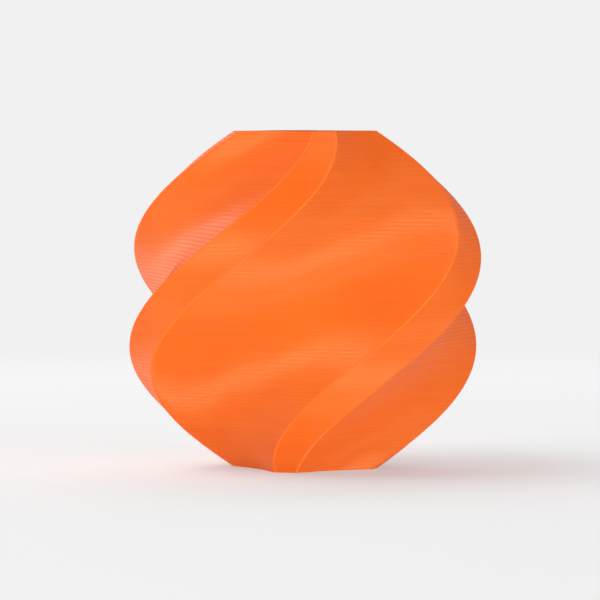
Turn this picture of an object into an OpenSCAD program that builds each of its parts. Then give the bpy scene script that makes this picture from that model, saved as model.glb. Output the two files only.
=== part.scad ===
// Twisted four-sided vase, printed in one piece: hollow faces between flat
// corner bands, a barrel profile, a closed flat foot and an open mouth.
// Lengths are in millimetres and angles in degrees. +Z is up, the origin is
// the centre of the foot, and at mid-height one face looks along -Y.

/* [Profile] */
// Height from the foot to the rim
height = 55; // [30:1:120]
// Radius to the corners at mid-height, where the vase is widest
belly_r = 31.6; // [26:0.2:45]
// Radius to the corners at the foot
foot_r = 12; // [9:0.2:20]
// Radius to the corners at the rim
rim_r = 11.8; // [9:0.2:20]

/* [Twist] */
// Turn from foot to rim, anticlockwise going up when seen from above
twist = 122; // [-180:1:180]

/* [Section] */
// Number of faces, and of corners
sides = 4; // [3:1:6]
// Width of the flat band on each corner, at mid-height
band_w = 10; // [4:0.5:14]
// Depth of the middle of a face inside the corner circle, at mid-height
face_depth = 8.3; // [4:0.1:12]
// Power of the curve across a face: 2 is a parabola, more is flatter
face_power = 2.3; // [1.6:0.1:3]

/* [Shell] */
// Thickness of the wall, measured level
wall = 1.2; // [0.8:0.1:2]
// Thickness of the floor
floor_t = 1.6; // [0.8:0.1:4]

/* [Smoothness] */
// Facets across one face
face_steps = 12; // [6:1:13]
// Rows of facets up the outside
outer_rows = 54; // [24:1:56]
// Rows of facets up the inside
inner_rows = 30; // [16:1:40]

/* [Hidden] */
// Angle from one corner to the next, seen from the axis
sector = 360 / sides;
// Half of the angle that a band spans, and half of what a face spans
band_half = asin(band_w / 2 / belly_r);
face_half = sector / 2 - band_half;
// Level of the widest section
belly_z = height / 2;
// Direction of the face that looks to the front at that level
front = -90;

// Radius to the corners at level z: two half parabolas that meet at the belly
function corner_r(z) =
    let (end_r = z < belly_z ? foot_r : rim_r)
    let (u = (z - belly_z) / belly_z)
    belly_r - (belly_r - end_r) * u * u;

// Turn of the section at level z
function turn(z) = twist * (z - belly_z) / height;

// Radius of a face as a share of the corner radius, at an angle from its middle
function face_share(angle) =
    1 - face_depth / belly_r * (1 - pow(abs(angle) / face_half, face_power));

// Outline at level z, anticlockwise. Each face runs from band to band, and the
// straight step from one face to the next is the band.
function section(z) =
    [for (side = [0 : sides - 1])
        for (step = [0 : face_steps])
            let (angle = face_half * (2 * step / face_steps - 1))
            let (a = front + turn(z) + side * sector + angle)
            let (r = corner_r(z) * face_share(angle))
            [r * cos(a), r * sin(a)]];

// Unit normal of the edge from p to q, pointing out of an anticlockwise outline
function edge_normal(p, q) =
    let (along = (q - p) / norm(q - p))
    [along.y, -along.x];

// Outline moved inwards by a distance, with mitred corners
function inset(outline, distance) =
    let (n = len(outline))
    [for (i = [0 : n - 1])
        let (a = edge_normal(outline[(i + n - 1) % n], outline[i]))
        let (b = edge_normal(outline[i], outline[(i + 1) % n]))
        outline[i] - distance * (a + b) / (1 + a * b)];

// Outline lifted to level z
function lift(outline, z) = [for (p = outline) [p.x, p.y, z]];

// Levels that bound a number of equal rows on the way from one height to another
function levels(start, end, rows) = [for (row = [0 : rows]) start + (end - start) * row / rows];

// Facets between two rings of n points that start at the given indices
function strip(n, lower, upper) =
    [for (i = [0 : n - 1])
        let (j = (i + 1) % n)
        each [[lower + i, upper + i, upper + j], [lower + i, upper + j, lower + j]]];

// Skin through a number of rings of n points, one after the other
function skin(n, rings) = [for (k = [0 : rings - 2]) each strip(n, k * n, (k + 1) * n)];

// A cup with its bottom closed: an outer skin up to the rim, an inner skin down
// from it, a foot and a floor. Outer is a list of rings going up, inner of rings
// going down, and all rings have the same number of points.
module cup(outer, inner) {
    n = len(outer[0]);
    rings = concat(outer, inner);
    last = (len(rings) - 1) * n;
    foot = [for (i = [0 : n - 1]) i];
    floor_face = [for (i = [n - 1 : -1 : 0]) last + i];
    polyhedron([for (ring = rings) each ring], concat(skin(n, len(rings)), [foot, floor_face]));
}

module vase() {
    outer = [for (z = levels(0, height, outer_rows)) lift(section(z), z)];
    inner = [for (z = levels(height, floor_t, inner_rows)) lift(inset(section(z), wall), z)];
    color("#f26c28") cup(outer, inner);
}

vase();
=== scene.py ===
"""A twisted vase printed in orange plastic, dressed for its portrait.

Lengths are in metres, in the frame of the CAD model: +Z up, the origin under
the centre of the foot, and the camera looking along +Y.
"""
import math

import bpy
import numpy as np
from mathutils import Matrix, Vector


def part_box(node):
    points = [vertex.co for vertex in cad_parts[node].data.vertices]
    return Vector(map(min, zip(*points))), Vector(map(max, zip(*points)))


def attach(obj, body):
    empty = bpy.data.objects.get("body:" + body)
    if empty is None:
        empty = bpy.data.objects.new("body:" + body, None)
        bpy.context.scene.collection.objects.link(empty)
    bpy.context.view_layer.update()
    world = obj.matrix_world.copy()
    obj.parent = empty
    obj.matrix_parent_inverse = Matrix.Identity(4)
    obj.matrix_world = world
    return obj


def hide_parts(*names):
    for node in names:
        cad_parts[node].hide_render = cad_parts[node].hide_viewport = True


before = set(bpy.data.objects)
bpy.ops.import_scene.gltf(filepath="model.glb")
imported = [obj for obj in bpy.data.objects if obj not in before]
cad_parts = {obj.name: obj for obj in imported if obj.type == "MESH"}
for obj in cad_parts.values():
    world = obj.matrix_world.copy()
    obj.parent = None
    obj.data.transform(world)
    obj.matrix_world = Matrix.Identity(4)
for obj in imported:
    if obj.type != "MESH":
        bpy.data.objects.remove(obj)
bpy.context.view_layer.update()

MM = 0.001
NODE = "vase"

# ---- Sizes of the vase, measured on the CAD solid or repeated from it ----

RING_TOLERANCE = 0.01 * MM     # how near a point lies to the foot or the rim to belong to it
solid_points = np.array([v.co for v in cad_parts[NODE].data.vertices])
solid_radius = np.hypot(solid_points[:, 0], solid_points[:, 1])
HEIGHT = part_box(NODE)[1].z
BELLY_R = solid_radius.max()
FOOT_R = solid_radius[solid_points[:, 2] < RING_TOLERANCE].max()
RIM_R = solid_radius[solid_points[:, 2] > HEIGHT - RING_TOLERANCE].max()
TWIST = math.radians(122)      # from foot to rim, anticlockwise seen from above
SIDES = 4
BAND_W = 10 * MM               # flat corner band, at mid-height
FACE_DEPTH = 8.3 * MM          # hollow of a face, at mid-height
FACE_POWER = 2.3
WALL = 1.2 * MM
FLOOR = 1.6 * MM

# ---- What printing adds ----

LAYER = 0.2 * MM               # height of one printed layer
GROOVE = 0.02 * MM             # how far the seam between two layers lies back from their bulges
BEAD_ROWS = ((0.0, GROOVE), (0.5, 0.0), (1.0, GROOVE))  # share of a layer's height, how far back
BULGE = 1                      # which of these rows is the bulge; the others are seams
EDGE_R = 0.5 * MM              # rounding where a face meets a band
INNER_EDGE_R = 0.2 * MM        # the same on the inside
TRIM = 0.55                    # what a rounding takes off each side, as a share of its radius

# ---- Finish ----

DEEP_ORANGE = (0.65, 0.105, 0.0095, 1)
LIGHT_ORANGE = (0.7, 0.118, 0.0115, 1)
EDGE_HIGHLIGHT_ORANGE = (0.73, 0.136, 0.016, 1)  # painted highlight along the rounded edges of the bands
ROUGHNESS = 0.34
GRAZE_ROUGHNESS = 0.22         # how much the layers' bulges dull the gloss at a low angle
GRAZE_START = 0.2              # where that starts: 0 is seen square on, 1 from the edge
SPECULAR = 0.18
SHINE = (1, 1, 0.5, 1)         # tint of the gloss
LINE_PITCH = 0.6 * MM          # spacing of the level lines that show, and how far they are raised
LINE_RISE = 0.0045 * MM
LINE_GLOSS = 0.09              # how much rougher and smoother than the rest they are
LINE_WAVER = 0.6               # how much they waver, and how finely
WAVER_SCALE = 0.3
STREAK_HEIGHT = 0.5 * MM       # height and length of the level streaks in the colour
STREAK_LENGTH = 30 * MM
DRIFT_LENGTH = 14 * MM         # size of the patches over which the colour drifts
DRIFT_DETAIL = 2
STREAK_SHARE, DRIFT_SHARE = 0.3, 0.7  # what each counts for in the colour
DEEP_AT, LIGHT_AT = 0.35, 0.65        # their sum where the colour is deepest, and lightest

# ---- Stage ----

WHITE = (1, 1, 1, 1)
BACKDROP = 0.879               # the pale grey behind the vase
BACKDROP_TOP, ROOM_START = 0.05, 0.1  # sines of the elevations between which it fades out
FLOOR_SIZE = 6
FLOOR_COLOR = 0.9
FLOOR_ROUGHNESS = 0.9
FLOOR_GLOW = 0.38              # share of a white glow in the floor as it is seen; the rest shades
FADE_START, FADE_END = 0.14, 0.34     # distance from the vase over which the floor fades out
SKY = 0.17                     # strength of the soft light from all around

# ---- Light ----

LIGHT_DISTANCE = 1.6
# Name, azimuth and elevation in degrees, width, height and level of each softbox. The low
# strips make the bright bands on the vase, and the high ones its shadow on the floor.
LIGHTS = (
    ("left_softbox", -50, 3, 0.45, 0.16, 0.58),
    ("right_softbox", 41, 3, 0.45, 0.16, 0.6),
    ("right_fill", 72, 3, 0.5, 0.16, 0.16),
    ("front_fill", 18, 3, 0.25, 0.16, 0.19),
    ("left_fill", -95, 3, 0.5, 0.16, 0.06),
    ("back_left_rim", -143, 3, 0.25, 0.16, 0.085),
    ("key", -78, 48, 1.6, 1.2, 0.48),
    ("back_left", -118, 40, 1.6, 1.0, 0.26),
    ("back", -178, 38, 1.6, 1.0, 0.42),
)

# ---- Camera ----

CAMERA_DISTANCE = 0.7075
CAMERA_ELEVATION = math.radians(2.69)
SENSOR_WIDTH = 36              # millimetres, as Blender has it
CLIP_START = 0.01
IMAGE_PX = 600
VASE_PX = 336.2                # height of the vase in the picture
VASE_MIDDLE_PX = (305.2, 299.0)

# ---- Mesh density ----

FACE_STEPS = 14                # across one face
EDGE_STEPS = 2                 # round one rounding
HOLD = 0.25 * MM               # flat strip beside each rounding, which keeps its shading narrow
INNER_ROWS = 120
BISECTIONS = 30

SECTOR = 2 * math.pi / SIDES
BAND_HALF = math.asin(BAND_W / 2 / BELLY_R)
FACE_HALF = SECTOR / 2 - BAND_HALF
BAND_OUT = np.array([math.sin(SECTOR / 2), math.cos(SECTOR / 2)])  # towards the band on the right
FACE_END_REACH = 1.37          # about the arc per radian at a face's end, in corner radii


# ---- Shape ----

def corner_radius(z):
    """Radius to the corners at level z: two half parabolas that meet at the belly."""
    u = (z - HEIGHT / 2) / (HEIGHT / 2)
    end = np.where(u < 0, FOOT_R, RIM_R)
    return BELLY_R - (BELLY_R - end) * u * u


def turn(z):
    """Turn of the section at level z. At mid-height a face looks to the front."""
    return TWIST * (z / HEIGHT - 0.5)


def face_point(radius, angle, inset):
    """Point of a face moved inwards, in the section's plane: x across the face, y out of it."""
    x = np.abs(angle) / FACE_HALF
    share = 1 - FACE_DEPTH / BELLY_R * (1 - x ** FACE_POWER)
    slope = FACE_DEPTH / BELLY_R * FACE_POWER * x ** (FACE_POWER - 1) / FACE_HALF * np.sign(angle)
    s, c = np.sin(angle), np.cos(angle)
    along = np.stack([slope * s + share * c, slope * c - share * s], -1)
    along /= np.linalg.norm(along, axis=-1, keepdims=True)
    out = np.stack([-along[..., 1], along[..., 0]], -1)
    point = radius[..., None] * np.stack([share * s, share * c], -1)
    return point - np.asarray(inset)[..., None] * out


def band_reach(radius, inset):
    """Distance from the axis to the middle of a band moved inwards."""
    return radius * math.cos(BAND_HALF) - inset


def face_end(radius, inset):
    """Angle at which an inset face meets the inset band, by bisection."""
    low, high = np.full_like(radius, FACE_HALF / 2), np.full_like(radius, FACE_HALF)
    for _ in range(BISECTIONS):
        middle = (low + high) / 2
        beyond = face_point(radius, middle, inset) @ BAND_OUT > band_reach(radius, inset)
        low, high = np.where(beyond, low, middle), np.where(beyond, middle, high)
    return high


def half_section(radius, inset, edge_r):
    """Right half of one side, from the middle of its face to the middle of its band, for
    arrays of corner radii and insets: an array of rows by points by 2."""
    end = face_end(radius, inset)
    corner = face_point(radius, end, inset)
    trim = edge_r * TRIM
    stop = end - trim / radius / FACE_END_REACH
    hold = stop - HOLD / radius
    points = [face_point(radius, hold * k / (FACE_STEPS // 2), inset)
              for k in range(FACE_STEPS // 2 + 1)]
    start = face_point(radius, stop, inset)
    middle = band_reach(radius, inset)[..., None] * BAND_OUT
    along = middle - corner
    along /= np.linalg.norm(along, axis=-1, keepdims=True)
    finish = corner + along * trim
    for k in range(EDGE_STEPS + 1):
        t = k / EDGE_STEPS
        points.append((1 - t) ** 2 * start + 2 * t * (1 - t) * corner + t * t * finish)
    return np.stack(points + [finish + along * HOLD, middle], 1)


def rings(z, outline_z, inset, edge_r):
    """Closed rings at levels z, each with the wall's outline at outline_z: rows by points by 3."""
    radius = corner_radius(outline_z)
    right = half_section(radius, inset, edge_r)
    left = right[:, 1:-1][:, ::-1] * [-1, 1]
    side = np.concatenate([left, right], 1)
    around = []
    for k in range(SIDES):
        a = (turn(outline_z) + k * SECTOR)[:, None]
        x = side[..., 0] * np.cos(a) + side[..., 1] * np.sin(a)
        y = side[..., 0] * np.sin(a) - side[..., 1] * np.cos(a)
        around.append(np.stack([x, y, np.broadcast_to(z[:, None], x.shape)], -1))
    return np.concatenate(around, 1)


def edge_highlight_columns():
    """For the columns of one side as rings() orders them: 1 in the middle of a rounding, where the
    painted edge highlight goes, or 0.
    """
    right = np.zeros(FACE_STEPS // 2 + EDGE_STEPS + 4)
    right[FACE_STEPS // 2 + 1 + EDGE_STEPS // 2] = 1
    return np.concatenate([right[1:-1][::-1], right])


def bead_rows():
    """Rows up the printed layers: their levels, the level at each layer's middle, whose outline
    the whole layer takes, and how far back they lie."""
    count = round(HEIGHT / LAYER)
    rows = [((k + part) / count * HEIGHT, (k + 0.5) / count * HEIGHT, back)
            for k in range(count) for part, back in BEAD_ROWS]
    return np.array(rows).T


def sharp_edges(mesh, columns, outer_rows, rows):
    """For each edge of the mesh: whether it runs level along a seam between two layers, an edge
    of the rim or of the foot, or the edge of the floor inside."""
    row = np.arange(rows + 1)
    sharp_row = (row % len(BEAD_ROWS) != BULGE) & (row <= outer_rows)
    sharp_row[rows - 1:] = True
    ends = np.empty(2 * len(mesh.edges), np.int32)
    mesh.edges.foreach_get("vertices", ends)
    first, second = (ends.reshape(-1, 2) // columns).T
    return (first == second) & sharp_row[first]


def vase_mesh():
    """The whole print as one closed mesh: outer skin, rim, inner skin, floor and foot."""
    outer = rings(*bead_rows(), EDGE_R)
    z_in = np.linspace(HEIGHT, FLOOR, INNER_ROWS)
    inner = rings(z_in, z_in, np.full(INNER_ROWS, WALL), INNER_EDGE_R)
    outer_rows, count = outer.shape[:2]
    points = np.concatenate([outer.reshape(-1, 3), inner.reshape(-1, 3)])
    points = np.vstack([points, [[0, 0, 0], [0, 0, FLOOR]]])
    foot_middle, floor_middle = len(points) - 2, len(points) - 1
    rows = outer_rows + INNER_ROWS
    i = np.arange(count)
    j = (i + 1) % count
    quads = np.concatenate([np.stack([r * count + i, r * count + j, (r + 1) * count + j,
                                      (r + 1) * count + i], 1) for r in range(rows - 1)])
    last = (rows - 1) * count
    faces = quads.tolist()
    faces += [[foot_middle, b, a] for a, b in zip(i.tolist(), j.tolist())]
    faces += [[floor_middle, last + a, last + b] for a, b in zip(i.tolist(), j.tolist())]
    mesh = bpy.data.meshes.new("vase_print")
    mesh.from_pydata(points.tolist(), [], faces)
    mesh.validate()
    mesh.shade_smooth()
    sharp = mesh.attributes.new("sharp_edge", "BOOLEAN", "EDGE")
    sharp.data.foreach_set("value", sharp_edges(mesh, count, outer_rows, rows))
    # painted highlight along the middle of each band edge's rounding, on the outer skin
    edge_highlight = np.zeros(len(points), np.float32)
    edge_highlight[:outer_rows * count] = np.tile(edge_highlight_columns(), outer_rows * SIDES)
    mesh.attributes.new("edge_highlight", "FLOAT", "POINT").data.foreach_set("value", edge_highlight)
    return mesh


# ---- Materials ----

WAVE_RATE = 20                 # radians per unit of length in a Wave texture at scale 1
MIX_FACTOR, MIX_A, MIX_B, MIX_RESULT = 0, 6, 7, 2  # sockets of a Mix node that mixes colours


def add_node(nodes, kind, values=None, **settings):
    """A new node of a kind with its settings, and with values on its sockets."""
    node = nodes.new(kind)
    for name, value in settings.items():
        setattr(node, name, value)
    for socket, value in (values or {}).items():
        node.inputs[socket].default_value = value
    return node


def node_material(name):
    """A new material with its nodes, its links and its shader."""
    material = bpy.data.materials.new(name)
    material.use_nodes = True
    nodes = material.node_tree.nodes
    return material, nodes, material.node_tree.links, nodes["Principled BSDF"]


def orange(nodes, links, place):
    """Socket with the colour: it varies in level streaks, drifts slowly over the print, and has a
    painted highlight, a lighter orange, along the edges of the bands."""
    scale = (1 / STREAK_LENGTH, 1 / STREAK_LENGTH, 1 / STREAK_HEIGHT)
    stretch = add_node(nodes, "ShaderNodeMapping", {"Scale": scale})
    streaks = add_node(nodes, "ShaderNodeTexNoise", {"Scale": 1, "Detail": 0})
    drift = add_node(nodes, "ShaderNodeTexNoise", {"Scale": 1 / DRIFT_LENGTH, "Detail": DRIFT_DETAIL})
    links.new(place, stretch.inputs["Vector"])
    links.new(stretch.outputs["Vector"], streaks.inputs["Vector"])
    links.new(place, drift.inputs["Vector"])
    slow_drift = add_node(nodes, "ShaderNodeMath", {1: DRIFT_SHARE}, operation="MULTIPLY")
    links.new(drift.outputs["Fac"], slow_drift.inputs[0])
    shade = add_node(nodes, "ShaderNodeMath", {1: STREAK_SHARE}, operation="MULTIPLY_ADD")
    links.new(streaks.outputs["Fac"], shade.inputs[0])
    links.new(slow_drift.outputs[0], shade.inputs[2])
    ramp = add_node(nodes, "ShaderNodeValToRGB")
    ends = ((DEEP_AT, DEEP_ORANGE), (LIGHT_AT, LIGHT_ORANGE))
    for element, (position, color) in zip(ramp.color_ramp.elements, ends):
        element.position = position
        element.color = color
    links.new(shade.outputs[0], ramp.inputs["Fac"])
    # painted highlight: the middle of each band edge's rounding takes a lighter orange
    edge_highlight = add_node(nodes, "ShaderNodeAttribute", attribute_name="edge_highlight")
    tint = add_node(nodes, "ShaderNodeMix", {MIX_B: EDGE_HIGHLIGHT_ORANGE}, data_type="RGBA")
    links.new(edge_highlight.outputs["Fac"], tint.inputs[MIX_FACTOR])
    links.new(ramp.outputs["Color"], tint.inputs[MIX_A])
    return tint.outputs[MIX_RESULT]


def satin(nodes, links, lines):
    """Socket with the roughness: it varies with the level lines and rises at a low angle."""
    gloss = add_node(nodes, "ShaderNodeMapRange", {"To Min": ROUGHNESS - LINE_GLOSS,
                                                   "To Max": ROUGHNESS + LINE_GLOSS})
    links.new(lines, gloss.inputs["Value"])
    facing = add_node(nodes, "ShaderNodeLayerWeight", {"Blend": 0.5})
    graze = add_node(nodes, "ShaderNodeMapRange", {"From Min": GRAZE_START, "To Max": GRAZE_ROUGHNESS},
                     interpolation_type="SMOOTHSTEP")
    links.new(facing.outputs["Facing"], graze.inputs["Value"])
    rough = add_node(nodes, "ShaderNodeMath", operation="ADD")
    links.new(gloss.outputs["Result"], rough.inputs[0])
    links.new(graze.outputs["Result"], rough.inputs[1])
    return rough.outputs[0]


def printed_plastic():
    """Satin orange filament. Its faint level lines, in gloss and height, stand for the pattern
    that the layers make in the photo."""
    material, nodes, links, shader = node_material("satin_orange")
    place = add_node(nodes, "ShaderNodeTexCoord").outputs["Object"]
    wave = add_node(nodes, "ShaderNodeTexWave", {"Scale": 2 * math.pi / WAVE_RATE / LINE_PITCH,
                                                 "Distortion": LINE_WAVER, "Detail": 0,
                                                 "Detail Scale": WAVER_SCALE}, bands_direction="Z")
    links.new(place, wave.inputs["Vector"])
    lines = wave.outputs["Fac"]
    bump = add_node(nodes, "ShaderNodeBump", {"Strength": 1, "Distance": LINE_RISE})
    links.new(lines, bump.inputs["Height"])
    links.new(orange(nodes, links, place), shader.inputs["Base Color"])
    links.new(satin(nodes, links, lines), shader.inputs["Roughness"])
    links.new(bump.outputs["Normal"], shader.inputs["Normal"])
    shader.inputs["Specular Tint"].default_value = SHINE
    shader.inputs["Specular IOR Level"].default_value = SPECULAR
    return material


def seen_directly(nodes, links):
    """Socket that is 1 for rays that show a surface as it is: from the camera, off a gloss or
    through a clear thing. It is 0 for rays that light the vase."""
    path = add_node(nodes, "ShaderNodeLightPath")
    socket = path.outputs["Is Camera Ray"]
    for kind in ("Is Glossy Ray", "Is Transmission Ray"):
        either = add_node(nodes, "ShaderNodeMath", operation="MAXIMUM")
        links.new(socket, either.inputs[0])
        links.new(path.outputs[kind], either.inputs[1])
        socket = either.outputs[0]
    return socket


def stage_floor():
    """Pale floor that fades into the backdrop's colour away from the vase."""
    material, nodes, links, shader = node_material("stage_floor")
    shader.inputs["Base Color"].default_value = (FLOOR_COLOR, FLOOR_COLOR, FLOOR_COLOR, 1)
    shader.inputs["Roughness"].default_value = FLOOR_ROUGHNESS
    shader.inputs["Specular IOR Level"].default_value = 0
    place = add_node(nodes, "ShaderNodeTexCoord")
    distance = add_node(nodes, "ShaderNodeVectorMath", operation="LENGTH")
    fade = add_node(nodes, "ShaderNodeMapRange", {"From Min": FADE_START, "From Max": FADE_END,
                                                  "To Min": FLOOR_GLOW},
                    interpolation_type="SMOOTHSTEP")
    both = add_node(nodes, "ShaderNodeMath", operation="MULTIPLY")
    level = add_node(nodes, "ShaderNodeMapRange", {"From Min": FLOOR_GLOW, "To Min": 1,
                                                   "To Max": BACKDROP})
    backdrop = add_node(nodes, "ShaderNodeEmission")
    mix = add_node(nodes, "ShaderNodeMixShader")
    links.new(place.outputs["Object"], distance.inputs[0])
    links.new(distance.outputs["Value"], fade.inputs["Value"])
    links.new(fade.outputs["Result"], both.inputs[0])
    links.new(fade.outputs["Result"], level.inputs["Value"])
    links.new(level.outputs["Result"], backdrop.inputs["Strength"])
    links.new(seen_directly(nodes, links), both.inputs[1])
    links.new(both.outputs[0], mix.inputs["Fac"])
    links.new(shader.outputs[0], mix.inputs[1])
    links.new(backdrop.outputs[0], mix.inputs[2])
    links.new(mix.outputs[0], nodes["Material Output"].inputs["Surface"])
    return material


# ---- Build ----

def place_object(name, data):
    """A new object in the scene."""
    thing = bpy.data.objects.new(name, data)
    bpy.context.scene.collection.objects.link(thing)
    return thing


def look_at_vase(thing, out, distance):
    """Puts an object at a distance from the vase's middle, in direction out, facing it."""
    thing.location = Vector((0, 0, HEIGHT / 2)) + out * distance
    thing.rotation_mode = "QUATERNION"
    thing.rotation_quaternion = (-out).to_track_quat("-Z", "Y")


def build_vase():
    piece = place_object("vase_print", vase_mesh())
    piece.data.materials.append(printed_plastic())
    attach(piece, "root")
    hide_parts(NODE)


def build_floor():
    bpy.ops.mesh.primitive_plane_add(size=FLOOR_SIZE)
    floor = bpy.context.object
    floor.name = "floor"
    floor.data.materials.append(stage_floor())


def add_camera():
    data = bpy.data.cameras.new("camera")
    data.sensor_width = SENSOR_WIDTH
    data.lens = data.sensor_width * CAMERA_DISTANCE * VASE_PX / HEIGHT / IMAGE_PX
    data.shift_x = (IMAGE_PX / 2 - VASE_MIDDLE_PX[0]) / IMAGE_PX
    data.shift_y = (VASE_MIDDLE_PX[1] - IMAGE_PX / 2) / IMAGE_PX
    data.clip_start = CLIP_START
    camera = place_object("camera", data)
    back = Vector((0, -math.cos(CAMERA_ELEVATION), math.sin(CAMERA_ELEVATION)))
    look_at_vase(camera, back, CAMERA_DISTANCE)
    bpy.context.scene.camera = camera


def add_light(name, azimuth, elevation, width, height, level):
    """A softbox that looks at the vase. Azimuth 0 is in front, 90 on the right. At level 1 a
    surface that faces it renders in its own colour."""
    a, e = math.radians(azimuth), math.radians(elevation)
    out = Vector((math.sin(a) * math.cos(e), -math.cos(a) * math.cos(e), math.sin(e)))
    data = bpy.data.lights.new(name, "AREA")
    data.shape = "RECTANGLE"
    data.size, data.size_y = width, height
    data.energy = level * (math.pi * LIGHT_DISTANCE) ** 2
    look_at_vase(place_object(name, data), out, LIGHT_DISTANCE)


def add_world():
    """Soft light from all around, and the backdrop where it is seen directly."""
    world = bpy.data.worlds.new("studio")
    world.use_nodes = True
    nodes, links = world.node_tree.nodes, world.node_tree.links
    nodes.clear()
    output = add_node(nodes, "ShaderNodeOutputWorld")
    mix = add_node(nodes, "ShaderNodeMixShader")
    light = add_node(nodes, "ShaderNodeBackground", {"Color": WHITE, "Strength": SKY})
    shown = add_node(nodes, "ShaderNodeBackground", {"Color": WHITE})
    place = add_node(nodes, "ShaderNodeTexCoord")
    direction = add_node(nodes, "ShaderNodeSeparateXYZ")
    fade = add_node(nodes, "ShaderNodeMapRange", {"From Min": BACKDROP_TOP, "From Max": ROOM_START,
                                                  "To Min": BACKDROP, "To Max": SKY},
                    interpolation_type="SMOOTHSTEP")
    links.new(place.outputs["Generated"], direction.inputs[0])
    links.new(direction.outputs["Z"], fade.inputs["Value"])
    links.new(fade.outputs["Result"], shown.inputs["Strength"])
    links.new(seen_directly(nodes, links), mix.inputs["Fac"])
    links.new(light.outputs[0], mix.inputs[1])
    links.new(shown.outputs[0], mix.inputs[2])
    links.new(mix.outputs[0], output.inputs["Surface"])
    bpy.context.scene.world = world


add_camera()
build_vase()
build_floor()
add_world()
for light in LIGHTS:
    add_light(*light)
bpy.context.scene.view_settings.view_transform = "Standard"
